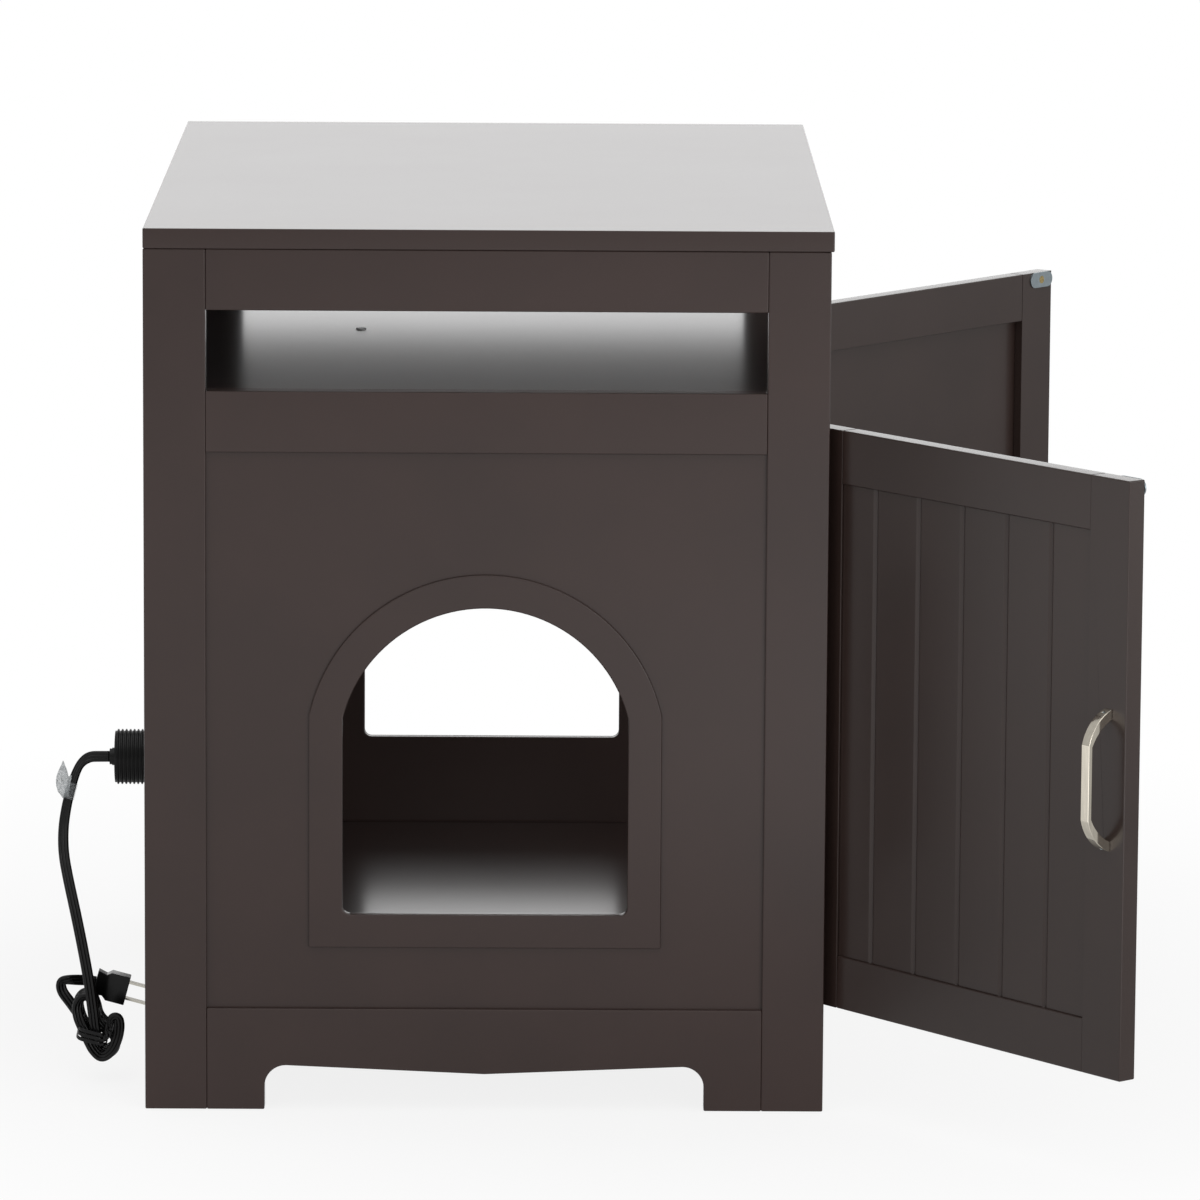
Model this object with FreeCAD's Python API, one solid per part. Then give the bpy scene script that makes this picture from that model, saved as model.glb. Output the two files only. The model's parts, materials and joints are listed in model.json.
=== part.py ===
import FreeCAD, Part
import math
import os
from FreeCAD import Vector

# A free-standing cabinet that hides a cat litter box. +X is the front with the double doors, +Z is up,
# -Y is the left side. The left door stands open against its stop, the right one a little short of it.
# The origin is on the floor, under the middle of the box that holds the cabinet with its doors at
# their stops.

# ---------------------------------------------------------------- driving sizes, in millimetres
# Carcass
top_width = 736.0
top_depth = 508.0
cabinet_height = 662.0
top_board = 15.0
top_front_overhang = 2.0
top_side_overhang = 1.0
top_edge_round = 0.8
frame_board = 15.0
stile_width = 46.0
rail_height = 45.5
slot_height = 60.0
shelf_board = 15.0
floor_board_thickness = 15.0
header_height = 25.5
rear_panel_thickness = 9.0
rear_panel_recess = 6.0
rear_panel_clear = 27.0
rear_groove_depth = 6.0
cleat_size = 15.0
groove_depth = 4.0
fit_gap = 0.1

# Shaped aprons with feet
apron_height = 77.0
foot_width = 89.0
foot_straight = 18.0
apron_corner = 16.0
apron_end_clear = 33.6
apron_centre_clear = 27.4

# Side panels and arched entrances
panel_thickness = 6.0
panel_recess = 4.0
arch_width = 212.0
arch_height = 231.5
arch_sill = 148.5
arch_radius = 109.0
arch_corner = 6.0
arch_trim_width = 25.0
arch_trim_thickness = 3.0

# Doors
door_board = 15.0
door_frame_width = 40.0
door_bottom_gap = 1.7
door_top_gap = 1.8
door_hinge_gap = 1.5
door_meeting_gap = 2.0
door_panel_thickness = 5.0
door_panel_recess = 2.0
door_panel_tongue = 5.0
plank_grooves = 5
plank_pitch = 47.6
plank_offset = 3.5
plank_groove_width = 4.0
plank_groove_depth = 2.0
right_door_ajar_angle = 1.7

# Door pivots
pivot_edge_inset = 12.0
pivot_face_inset = 4.6
pivot_diameter = 4.0
pivot_depth = 8.0
pivot_collar_diameter = 8.0
pivot_collar_gap = 0.2
running_gap = 0.05
door_stop_gap = 0.3

# Bow handles
handle_centres = 96.0
handle_straight = 54.0
handle_projection = 22.0
handle_width = 8.0
handle_thickness = 3.6
handle_foot = 7.6
handle_outer_bow = (0.58, 0.68)
handle_inner_bow = (0.56, 0.62)
handle_edge_inset = 18.0
handle_screw_diameter = 4.0
handle_screw_head = 8.0
handle_screw_head_height = 2.2
handle_screw_bite = 5.0

# Strike plates and magnetic catches
strike_length = 30.0
strike_height = 13.0
strike_thickness = 1.2
strike_screw_diameter = 3.0
strike_screw_head = 6.5
strike_screw_length = 11.0
catch_gap = 0.5
catch_width = 26.0
catch_depth = 17.0
catch_wall = 3.0
magnet_height = 10.0
magnet_depth = 9.0

# Fasteners
dowel_diameter = 8.0
dowel_length = 30.0
dowel_stile_depth = 9.0
dowel_edge = 11.0
cam_diameter = 15.0
cam_depth = 12.0
cam_edge = 34.0
cam_post_inset = 40.0
bolt_diameter = 5.0
bolt_bite = 11.0
bolt_bore = 7.0
screw_diameter = 3.5
screw_head = 7.0
screw_length = 24.0
screw_gap = 0.05
screws_per_cleat = 3
shelf_cap_diameter = 8.0
shelf_cap_height = 1.0
shelf_cap_round = 0.6
shelf_cap_x = -195.5
shelf_cap_y = -18.0

# Power outlet through the rear panel
outlet_inset = 100.0
outlet_height = 249.0
outlet_crest = 41.6
outlet_root = 39.0
outlet_wall = 2.5
outlet_beyond = 26.6
thread_pitch = 3.0
thread_foot = 2.52
thread_crest = 0.84
thread_start = 2.25
thread_sink = 1.0
flange_diameter = 52.0
flange_thickness = 3.0
socket_thickness = 12.0
socket_recess = 1.0
slot_spacing = 12.7
slot_width = 1.8
slot_lengths = (7.0, 8.5)
slot_depth = 9.0
nut_diameter = 51.0
nut_thickness = 5.6
nut_notches = 12
nut_notch_diameter = 5.0
collar_diameter = 13.3
collar_length = 2.4
collar_neck = 12.0
collar_neck_length = 1.9
collar_tail = 9.0
collar_tail_length = 6.0

# Cord, drawn as a round one of the same section as the flat cord, which is about 8 by 3.4.
# Each route point is (behind the cord's exit, to the right of it, share of the drop from the
# outlet to the hank's waist that is still below the point).
cord_diameter = 4.8
cord_route = [
    (7.6, 0.0, 1.0),
    (15.4, 0.0, 0.999),
    (21.8, 0.0, 0.977),
    (25.6, -0.1, 0.942),
    (29.4, -0.5, 0.887),
    (33.0, -1.0, 0.816),
    (35.4, -2.0, 0.737),
    (35.2, -3.0, 0.651),
    (31.8, -4.0, 0.561),
    (26.2, -5.2, 0.439),
    (20.6, -6.6, 0.307),
    (16.2, -7.8, 0.191),
    (13.5, -8.4, 0.096),
]
run_share = 0.45

# Hank: an upright oval, drawn in at the tied waist, wound from the front layer to the back one.
# Each place is (right of the waist, above the waist, heading in degrees above the right).
hank_behind = 13.7
hank_aside = -8.6
hank_height = 37.2
hank_turns = 5
hank_step = 6.4
hank_entry = (9.0, 0.3, -12.0)
lower_lobe = [(18.6, -7.0, -90.0), (9.2, -19.6, 180.0), (0.2, -12.6, 118.0), (-4.8, -3.4, 124.0)]
upper_lobe = [(-12.6, 15.0, 94.0), (-5.6, 24.0, 0.0), (1.6, 17.2, -84.0), (2.3, 11.0, -84.0), (8.9, 5.4, 6.0)]
outer_lobe = [(-14.9, 11.3, 124.5), (-22.8, 23.0, 124.5), (-18.2, 33.4, 0.0)]

# Tie, film tag and plug on the cord
tie_angle = 39.0
tie_middle = (-1.4, 4.2)
tie_half_width = 12.0
tie_width = 5.0
tie_thickness = 1.0
tie_gap = 2.6
tie_tail_diameter = 1.2
tie_tail = [(3.8, 9.5), (8.0, 13.0), (3.4, 22.6)]
tag_route_index = 5
tag_reach = 12.0
tag_thickness = 0.5
tag_gap = 0.3
tag_flap = [
    (0.4, 8.0),
    (-3.0, 8.0),
    (-2.8, 13.5),
    (-5.6, 21.3),
    (-10.7, 9.5),
    (-11.2, 4.0),
    (-9.9, -2.1),
    (-5.8, -7.4),
    (-1.3, -6.5),
]
plug_rear = (0.6, 31.6)
plug_tilt = 15.0
plug_length = 25.0
plug_height = 22.0
plug_rear_height = 20.0
plug_waist_height = 16.5
plug_depth = 13.0
plug_rear_depth = 10.4
plug_waist_place = 7.0
plug_shoulder_place = 10.5
blade_length = 16.0
blade_width = 6.35
blade_thickness = 1.5

# ---------------------------------------------------------------- derived planes
side_face = top_width / 2 - top_side_overhang
side_inner = side_face - frame_board
frame_depth = top_depth - top_front_overhang
top_under = cabinet_height - top_board
top_rail_bottom = top_under - rail_height
shelf_top = top_rail_bottom - slot_height
middle_rail_bottom = shelf_top - rail_height
header_bottom = shelf_top - header_height
shelf_under = shelf_top - shelf_board
floor_under = apron_height - floor_board_thickness

door_width = side_inner - door_hinge_gap - door_meeting_gap / 2
door_low = apron_height + door_bottom_gap
door_high = header_bottom - door_top_gap
door_middle = (door_low + door_high) / 2

# The open door's outer face stops just off the corner of the side frame.
corner_angle = math.atan2(pivot_edge_inset + door_hinge_gap, pivot_face_inset)
corner_distance = math.hypot(pivot_edge_inset + door_hinge_gap, pivot_face_inset)
open_angle = corner_angle + math.acos((pivot_face_inset + door_stop_gap) / corner_distance)

# How far the strike plate's corner on the open door stands in front of the carcass
strike_from_pivot = pivot_face_inset - door_board - strike_thickness
free_edge_from_pivot = door_width - pivot_edge_inset
door_reach = (
    strike_from_pivot * math.cos(open_angle)
    + free_edge_from_pivot * math.sin(open_angle)
    - pivot_face_inset
)
overall_depth = outlet_beyond + frame_depth + door_reach
front_face = overall_depth / 2 - door_reach
rear_face = front_face - frame_depth
front_inner = front_face - frame_board
rear_inner = rear_face + rear_panel_recess + rear_panel_thickness
window_rear = rear_face + stile_width
window_front = front_face - stile_width
side_centre = (window_rear + window_front) / 2
frame_middle_y = side_face - frame_board / 2

pivot_x = front_face - pivot_face_inset
pivot_y = -(side_inner - door_hinge_gap - pivot_edge_inset)
outlet_y = -(top_width / 2 - outlet_inset)
outlet_end = rear_face - outlet_beyond
outlet_axis = Vector(-1, 0, 0)
cord_exit = Vector(outlet_end - collar_length - collar_neck_length, outlet_y, outlet_height)
hank_waist = Vector(cord_exit.x - hank_behind, cord_exit.y + hank_aside, hank_height)

nodes = {}


# ---------------------------------------------------------------- helpers
def box(x0, x1, y0, y1, z0, z1):
    """A board between two corners."""
    return Part.makeBox(x1 - x0, y1 - y0, z1 - z0, Vector(x0, y0, z0))


def rod(start, direction, length, diameter):
    """A round bar from a point along a direction."""
    return Part.makeCylinder(diameter / 2, length, Vector(*start), Vector(*direction))


def mirrored(shape):
    """The same piece on the cabinet's right side."""
    return shape.mirror(Vector(0, 0, 0), Vector(0, 1, 0))


def prism(edges, direction):
    """A flat outline of edges pushed along a direction."""
    return Part.Face(Part.Wire(edges)).extrude(Vector(*direction))


def lines(points):
    """Straight edges through points, left open."""
    return [Part.makeLine(a, b) for a, b in zip(points, points[1:])]


def arc(start, middle, end):
    return Part.Arc(start, middle, end).toShape()


def both_sides(name, shape):
    """Store a left piece and its mirror image on the right."""
    nodes["left_" + name] = shape
    nodes["right_" + name] = mirrored(shape)


def drill(names, cutter):
    """Cut one hole through each named piece."""
    for name in names:
        nodes[name] = nodes[name].cut(cutter)


# ---------------------------------------------------------------- carcass
def tabletop():
    top = box(
        rear_face, front_face + top_front_overhang, -top_width / 2, top_width / 2, top_under, cabinet_height
    )
    rim = [edge for edge in top.Edges if edge.BoundBox.ZMin > top_under + top_edge_round]
    return top.makeFillet(top_edge_round, rim)


def panel_groove(x0, x1, z0, z1):
    """The groove that a side panel's tongue runs in, between two heights."""
    outer = side_face - panel_recess + fit_gap / 2
    inner = side_face - panel_recess - panel_thickness - fit_gap / 2
    return box(x0, x1, -outer, -inner, z0, z1)


def side_stiles():
    tongue = groove_depth + fit_gap
    low = apron_height - tongue
    high = middle_rail_bottom + tongue
    front = box(window_front, front_face, -side_face, -side_inner, 0, top_under)
    rear = box(rear_face, window_rear, -side_face, -side_inner, 0, top_under)
    front = front.cut(panel_groove(window_front, window_front + tongue, low, high))
    rear = rear.cut(panel_groove(window_rear - tongue, window_rear, low, high))
    rear_slot = box(
        rear_face + rear_panel_recess - fit_gap / 2,
        rear_inner + fit_gap / 2,
        -side_inner - rear_groove_depth - fit_gap,
        -side_inner,
        rear_panel_clear,
        top_under,
    )
    both_sides("front_stile", front)
    both_sides("rear_stile", rear.cut(rear_slot))


def side_rails():
    top = box(window_rear, window_front, -side_face, -side_inner, top_rail_bottom, top_under)
    middle = box(window_rear, window_front, -side_face, -side_inner, middle_rail_bottom, shelf_top)
    groove_top = middle_rail_bottom + groove_depth + fit_gap
    middle = middle.cut(panel_groove(window_rear, window_front, middle_rail_bottom, groove_top))
    both_sides("top_rail", top)
    both_sides("middle_rail", middle)


def apron_outline(half_length, foot_end):
    """Lower edge points (distance from the middle, height) of one half, from the foot to the middle."""
    bend = apron_corner * (1 - math.sqrt(0.5))
    return {
        "outer": (half_length, 0.0),
        "foot": (foot_end, 0.0),
        "straight": (foot_end, foot_straight),
        "bend": (foot_end - bend, apron_end_clear - bend),
        "shoulder": (foot_end - apron_corner, apron_end_clear),
        "middle": (0.0, apron_centre_clear),
    }


def apron(half_length, foot_end, place):
    """Edges of a shaped apron; place turns (along, height) into a point."""
    p = apron_outline(half_length, foot_end)

    def at(key, sign):
        along, height = p[key]
        return place(sign * along, height)

    edges = []
    for sign in (-1, 1):
        edges += lines([at("outer", sign), at("foot", sign), at("straight", sign)])
        edges.append(arc(at("straight", sign), at("bend", sign), at("shoulder", sign)))
        edges.append(Part.makeLine(at("shoulder", sign), at("middle", sign)))
        edges.append(Part.makeLine(at("outer", sign), place(sign * half_length, apron_height)))
    edges.append(Part.makeLine(place(-half_length, apron_height), place(half_length, apron_height)))
    return [e for group in Part.sortEdges(edges) for e in group]


def aprons():
    half = (window_front - window_rear) / 2
    foot_end = half + stile_width - foot_width
    edges = apron(half, foot_end, lambda along, height: Vector(side_centre + along, -side_face, height))
    side = prism(edges, (0, frame_board, 0))
    tongue = groove_depth + fit_gap
    side = side.cut(panel_groove(window_rear, window_front, apron_height - tongue, apron_height))
    both_sides("apron", side)
    foot_end = side_face - foot_width
    edges = apron(side_inner, foot_end, lambda along, height: Vector(front_inner, along, height))
    nodes["front_apron"] = prism(edges, (frame_board, 0, 0))


def arch_edges(half_width, top, radius, sill, corner, y):
    """Outline of the arched entrance or of its trim, in the upright plane at y."""
    centre = top - radius
    spring = centre + math.sqrt(radius**2 - half_width**2)

    def at(along, height):
        return Vector(side_centre + along, y, height)

    edges = [arc(at(-half_width, spring), at(0, top), at(half_width, spring))]
    low = sill + corner
    for sign in (-1, 1):
        side = sign * half_width
        edges.append(Part.makeLine(at(side, spring), at(side, low)))
        if corner:
            bend = corner * (1 - math.sqrt(0.5))
            middle = at(side - sign * bend, sill + bend)
            edges.append(arc(at(side, low), middle, at(side - sign * corner, sill)))
    edges.append(Part.makeLine(at(-half_width + corner, sill), at(half_width - corner, sill)))
    return Part.sortEdges(edges)[0]


def entrance(y, depth):
    """The solid of the arched hole, from y inwards."""
    edges = arch_edges(arch_width / 2, arch_sill + arch_height, arch_radius, arch_sill, arch_corner, y)
    return prism(edges, (0, depth, 0))


def side_panels():
    outer = -side_face + panel_recess
    panel = box(
        window_rear - groove_depth,
        window_front + groove_depth,
        outer,
        outer + panel_thickness,
        apron_height - groove_depth,
        middle_rail_bottom + groove_depth,
    )
    both_sides("side_panel", panel.cut(entrance(outer - 1, panel_thickness + 2)))
    face = outer - arch_trim_thickness
    trim = prism(
        arch_edges(
            arch_width / 2 + arch_trim_width,
            arch_sill + arch_height + arch_trim_width,
            arch_radius + arch_trim_width,
            arch_sill - arch_trim_width,
            0,
            face,
        ),
        (0, arch_trim_thickness, 0),
    )
    both_sides("arch_trim", trim.cut(entrance(face - 1, arch_trim_thickness + 2)))


def rear_panel():
    return box(
        rear_face + rear_panel_recess,
        rear_inner,
        -side_inner - rear_groove_depth,
        side_inner + rear_groove_depth,
        rear_panel_clear,
        top_under,
    )


def cross_boards():
    across = (front_inner, front_face, -side_inner, side_inner)
    nodes["front_top_rail"] = box(*across, top_rail_bottom, top_under)
    nodes["front_header"] = box(*across, header_bottom, shelf_top)
    nodes["shelf"] = box(rear_inner, front_inner, -side_inner, side_inner, shelf_under, shelf_top)
    nodes["floor_board"] = box(rear_inner, front_inner, -side_inner, side_inner, floor_under, apron_height)


def cleats(name, top):
    """A pair of strips along the side frames, with their top at a height."""
    strip = box(window_rear, window_front, -side_inner, -side_inner + cleat_size, top - cleat_size, top)
    nodes[name] = Part.makeCompound([strip, mirrored(strip)])


def shelf_cap():
    x, y = shelf_cap_x, shelf_cap_y
    cap = rod((x, y, shelf_top), (0, 0, 1), shelf_cap_height, shelf_cap_diameter)
    rim = [edge for edge in cap.Edges if edge.BoundBox.ZMin > shelf_top + shelf_cap_height / 2]
    return cap.makeFillet(shelf_cap_round, rim)


# ---------------------------------------------------------------- fasteners of the carcass
def add_dowel(solids, start, direction, names):
    solids.append(rod(start, direction, dowel_length, dowel_diameter))
    drill(names, rod(start, direction, dowel_length, dowel_diameter + 2 * running_gap))


def dowels():
    solids = []
    side_joints = (
        ("top_rail", (top_rail_bottom + dowel_edge, top_under - dowel_edge)),
        ("middle_rail", (middle_rail_bottom + dowel_edge, shelf_top - dowel_edge)),
        ("apron", (dowel_edge, apron_height - groove_depth - dowel_edge)),
    )
    for side, sign in (("left_", -1), ("right_", 1)):
        y = sign * frame_middle_y
        for rail, heights in side_joints:
            for z in heights:
                start = (window_rear - dowel_length / 2, y, z)
                add_dowel(solids, start, (1, 0, 0), (side + "rear_stile", side + rail))
                start = (window_front - dowel_length / 2, y, z)
                add_dowel(solids, start, (1, 0, 0), (side + "front_stile", side + rail))
    front_joints = (
        ("front_top_rail", (top_rail_bottom + dowel_edge, top_under - dowel_edge)),
        ("front_header", (shelf_top - dowel_edge,)),
        ("front_apron", (dowel_edge, apron_height / 2)),
    )
    x = front_face - frame_board / 2
    for side, sign in (("left_", -1), ("right_", 1)):
        for rail, heights in front_joints:
            for z in heights:
                start = (x, sign * (side_inner + dowel_stile_depth), z)
                add_dowel(solids, start, (0, -sign, 0), (side + "front_stile", rail))
    nodes["dowels"] = Part.makeCompound(solids)


def cam_joints():
    """Cam locks under the shelf and the floor board, and the bolts that they pull."""
    cams = []
    bolts = []
    boards = (
        ("shelf", shelf_under, shelf_board, "middle_rail"),
        ("floor_board", floor_under, floor_board_thickness, "apron"),
    )
    for name, under, thickness, rail in boards:
        for x in (window_rear + cam_post_inset, window_front - cam_post_inset):
            for side, sign in (("left_", -1), ("right_", 1)):
                z = under + thickness / 2
                inward = (0, -sign, 0)
                outer_end = (x, sign * (side_inner + bolt_bite), z)
                bore = rod((x, sign * side_inner, z), inward, cam_edge, bolt_bore)
                cam_y = sign * (side_inner - cam_edge)
                cam = rod((x, cam_y, under), (0, 0, 1), cam_depth, cam_diameter)
                cam_pocket = rod((x, cam_y, under), (0, 0, 1), cam_depth, cam_diameter + 2 * running_gap)
                cams.append(cam.cut(bore))
                bolts.append(rod(outer_end, inward, bolt_bite + cam_edge - screw_head / 2, bolt_diameter))
                drill([name], cam_pocket.fuse(bore))
                hole = rod(outer_end, inward, bolt_bite + 1, bolt_diameter + 2 * running_gap)
                drill([side + rail], hole)
    nodes["cam_locks"] = Part.makeCompound(cams)
    nodes["cam_bolts"] = Part.makeCompound(bolts)


def wood_screw(start, direction, gap=0.0):
    """A countersunk screw: its head's flat face is at start."""
    head_height = (screw_head - screw_diameter) / 2
    head = Part.makeCone(
        screw_head / 2 + gap, screw_diameter / 2 + gap, head_height, Vector(*start), Vector(*direction)
    )
    return head.fuse(rod(start, direction, screw_length, screw_diameter + 2 * gap))


def add_screw(solids, start, direction, names):
    solids.append(wood_screw(start, direction))
    drill(names, wood_screw(start, direction, screw_gap))


def spread(count, low, high):
    """Evenly spread places with half a step left at each end."""
    step = (high - low) / count
    return [low + step * (i + 0.5) for i in range(count)]


def wood_screws():
    solids = []
    strips = (
        ("shelf_cleats", shelf_under, "middle_rail"),
        ("floor_cleats", floor_under, "apron"),
        ("top_battens", top_under, "top_rail"),
    )
    for strip, top, rail in strips:
        z = top - cleat_size / 2
        for x in spread(screws_per_cleat, window_rear, window_front):
            for side, sign in (("left_", -1), ("right_", 1)):
                start = (x, sign * (side_inner - cleat_size), z)
                add_screw(solids, start, (0, sign, 0), (strip, side + rail))
    for x in spread(screws_per_cleat - 1, window_rear, window_front):
        for sign in (-1, 1):
            start = (x, sign * (side_inner - cleat_size / 2), top_under - cleat_size)
            add_screw(solids, start, (0, 0, 1), ("top_battens", "tabletop"))
    nodes["wood_screws"] = Part.makeCompound(solids)


# ---------------------------------------------------------------- doors
def swung(shape, angle):
    """Turn a piece of the left door from its closed place to an open one."""
    turned = shape.copy()
    turned.rotate(Vector(pivot_x, pivot_y, 0), Vector(0, 0, 1), -math.degrees(angle))
    return turned


def both_doors(name, closed_shape):
    """Store a piece on the left door, open to its stop, and on the right one, a little short of its stop."""
    right_angle = open_angle - math.radians(right_door_ajar_angle)
    nodes["left_door_" + name] = swung(closed_shape, open_angle)
    nodes["right_door_" + name] = mirrored(swung(closed_shape, right_angle))


hinge_edge_y = -side_inner + door_hinge_gap
free_edge_y = -door_meeting_gap / 2
door_back = front_face - door_board


def door_groove(y0, y1, z0, z1):
    """The groove round the door frame's inside that holds the infill panel."""
    x1 = front_face - door_panel_recess + fit_gap / 2
    x0 = front_face - door_panel_recess - door_panel_thickness - fit_gap / 2
    return box(x0, x1, y0, y1, z0, z1)


def door_frame():
    """Stiles and rails of the left door, closed."""
    inner_hinge = hinge_edge_y + door_frame_width
    inner_free = free_edge_y - door_frame_width
    inner_low = door_low + door_frame_width
    inner_high = door_high - door_frame_width
    tongue = door_panel_tongue + fit_gap
    groove = door_groove(inner_hinge - tongue, inner_free + tongue, inner_low - tongue, inner_high + tongue)
    pieces = {
        "hinge_stile": box(door_back, front_face, hinge_edge_y, inner_hinge, door_low, door_high),
        "lock_stile": box(door_back, front_face, inner_free, free_edge_y, door_low, door_high),
        "top_rail": box(door_back, front_face, inner_hinge, inner_free, inner_high, door_high),
        "bottom_rail": box(door_back, front_face, inner_hinge, inner_free, door_low, inner_low),
    }
    return {name: piece.cut(groove) for name, piece in pieces.items()}


def door_panel():
    """The infill panel with upright V grooves between its planks."""
    inner_hinge = hinge_edge_y + door_frame_width
    inner_free = free_edge_y - door_frame_width
    inner_low = door_low + door_frame_width
    inner_high = door_high - door_frame_width
    x1 = front_face - door_panel_recess
    tongue = door_panel_tongue
    panel = box(
        x1 - door_panel_thickness,
        x1,
        inner_hinge - tongue,
        inner_free + tongue,
        inner_low - tongue,
        inner_high + tongue,
    )
    middle = (inner_hinge + inner_free) / 2 - plank_offset
    cutters = []
    for i in range(plank_grooves):
        y = middle + (i - (plank_grooves - 1) / 2) * plank_pitch
        corners = [
            Vector(x1, y - plank_groove_width / 2, inner_low),
            Vector(x1 - plank_groove_depth, y, inner_low),
            Vector(x1, y + plank_groove_width / 2, inner_low),
            Vector(x1, y - plank_groove_width / 2, inner_low),
        ]
        cutters.append(prism(lines(corners), (0, 0, inner_high - inner_low)))
    return panel.cut(Part.makeCompound(cutters))


def pivot_hole(z0, z1):
    """The bore for a pivot pin, between two heights."""
    return rod((pivot_x, pivot_y, z0), (0, 0, 1), z1 - z0, pivot_diameter + 2 * running_gap)


def pivot_pins():
    """Upper and lower pins of both doors; the lower ones carry the door on a collar."""
    lower_start = (pivot_x, pivot_y, apron_height - pivot_depth)
    lower = rod(lower_start, (0, 0, 1), 2 * pivot_depth + door_bottom_gap, pivot_diameter)
    collar_height = door_bottom_gap - pivot_collar_gap
    collar = rod((pivot_x, pivot_y, apron_height), (0, 0, 1), collar_height, pivot_collar_diameter)
    upper_start = (pivot_x, pivot_y, door_high - pivot_depth)
    upper = rod(upper_start, (0, 0, 1), 2 * pivot_depth + door_top_gap, pivot_diameter)
    pins = [lower.fuse(collar), upper]
    nodes["pivot_pins"] = Part.makeCompound(pins + [mirrored(pin) for pin in pins])
    holes = (
        ("front_apron", pivot_hole(apron_height - pivot_depth, apron_height)),
        ("front_header", pivot_hole(header_bottom, header_bottom + pivot_depth)),
    )
    for name, hole in holes:
        drill([name], hole)
        drill([name], mirrored(hole))


def handle_y():
    return free_edge_y - handle_edge_inset


def handle_side(sign):
    """Corner points of one half of the handle, seen from its side, as (projection, height)."""
    outer_end = handle_centres / 2 + handle_foot / 2
    inner_end = outer_end - handle_foot
    bend = handle_straight / 2
    inner_bend = bend - handle_thickness / 4
    inner = handle_projection - handle_thickness
    outer_out, outer_up = handle_outer_bow
    inner_out, inner_up = handle_inner_bow
    points = {
        "outer_foot": (0.0, outer_end),
        "outer_leg": (handle_projection * outer_out, bend + (outer_end - bend) * outer_up),
        "outer_bend": (handle_projection, bend),
        "inner_bend": (inner, inner_bend),
        "inner_leg": (inner * inner_out, inner_bend + (inner_end - inner_bend) * inner_up),
        "inner_foot": (0.0, inner_end),
    }
    return {
        key: Vector(front_face + out, handle_y() - handle_width / 2, door_middle + sign * height)
        for key, (out, height) in points.items()
    }


def handle():
    """A flat bow of constant width with slanting legs, closed place of the left door."""
    top = handle_side(1)
    low = handle_side(-1)
    edges = []
    for half in (top, low):
        edges.append(arc(half["outer_foot"], half["outer_leg"], half["outer_bend"]))
        edges.append(arc(half["inner_foot"], half["inner_leg"], half["inner_bend"]))
        edges.append(Part.makeLine(half["outer_foot"], half["inner_foot"]))
    edges.append(Part.makeLine(top["outer_bend"], low["outer_bend"]))
    edges.append(Part.makeLine(top["inner_bend"], low["inner_bend"]))
    bow = prism(Part.sortEdges(edges)[0], (0, handle_width, 0))
    for screw in handle_screw_shapes(2 * running_gap):
        bow = bow.cut(screw)
    return bow


def handle_screw_shapes(gap=0.0):
    """Pan-head screws from the door's back into the handle's feet."""
    shapes = []
    for sign in (-1, 1):
        z = door_middle + sign * handle_centres / 2
        start = (door_back, handle_y(), z)
        shank = rod(start, (1, 0, 0), door_board + handle_screw_bite, handle_screw_diameter + gap)
        head = rod(start, (-1, 0, 0), handle_screw_head_height, handle_screw_head)
        shapes.append(shank.fuse(head))
    return shapes


def strike_plate():
    """A thin plate with round ends on the door's inner face, at its free top corner."""
    x = door_back - strike_thickness
    radius = strike_height / 2
    free_centre = free_edge_y - radius
    far_centre = free_edge_y - strike_length + radius
    low = door_high - strike_height
    middle = door_high - radius
    edges = [
        arc(
            Vector(x, far_centre, low),
            Vector(x, far_centre - radius, middle),
            Vector(x, far_centre, door_high),
        ),
        Part.makeLine(Vector(x, far_centre, door_high), Vector(x, free_centre, door_high)),
        arc(
            Vector(x, free_centre, door_high),
            Vector(x, free_edge_y, middle),
            Vector(x, free_centre, low),
        ),
        Part.makeLine(Vector(x, free_centre, low), Vector(x, far_centre, low)),
    ]
    return prism(edges, (strike_thickness, 0, 0))


def strike_screw(gap=0.0):
    """A countersunk screw through the middle of the strike plate."""
    middle_y = free_edge_y - strike_length / 2
    middle_z = door_high - strike_height / 2
    start = Vector(door_back - strike_thickness, middle_y, middle_z)
    along = Vector(1, 0, 0)
    head_height = (strike_screw_head - strike_screw_diameter) / 2
    head_radius = strike_screw_head / 2 + gap
    shank_radius = strike_screw_diameter / 2 + gap
    head = Part.makeCone(head_radius, shank_radius, head_height, start, along)
    shank = Part.makeCylinder(shank_radius, strike_screw_length, start, along)
    return head.fuse(shank)


def doors():
    frame = door_frame()
    for hole_low in (door_low, door_high - pivot_depth):
        hole = pivot_hole(hole_low, hole_low + pivot_depth)
        frame["hinge_stile"] = frame["hinge_stile"].cut(hole)
    for screw in handle_screw_shapes(2 * running_gap):
        frame["lock_stile"] = frame["lock_stile"].cut(screw)
    frame["lock_stile"] = frame["lock_stile"].cut(strike_screw(running_gap))
    for name, piece in frame.items():
        both_doors(name, piece)
    both_doors("panel", door_panel())
    both_doors("handle", handle())
    both_doors("handle_screws", Part.makeCompound(handle_screw_shapes()))
    both_doors("strike_plate", strike_plate().cut(strike_screw(running_gap)))
    both_doors("strike_screw", strike_screw())


def catches():
    """Magnetic catches behind the header, one for each strike plate."""
    front = door_back - strike_thickness - catch_gap
    middle = free_edge_y - strike_length / 2
    low = door_high - strike_height - catch_wall / 3
    housing = box(
        front - catch_depth, front, middle - catch_width / 2, middle + catch_width / 2, low, shelf_under
    )
    strike_middle = door_high - strike_height / 2
    half = catch_width / 2 - catch_wall
    z0 = strike_middle - magnet_height / 2
    magnet = box(front - magnet_depth, front, middle - half, middle + half, z0, z0 + magnet_height)
    housing = housing.cut(magnet)
    nodes["catch_housings"] = Part.makeCompound([housing, mirrored(housing)])
    nodes["catch_magnets"] = Part.makeCompound([magnet, mirrored(magnet)])


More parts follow.
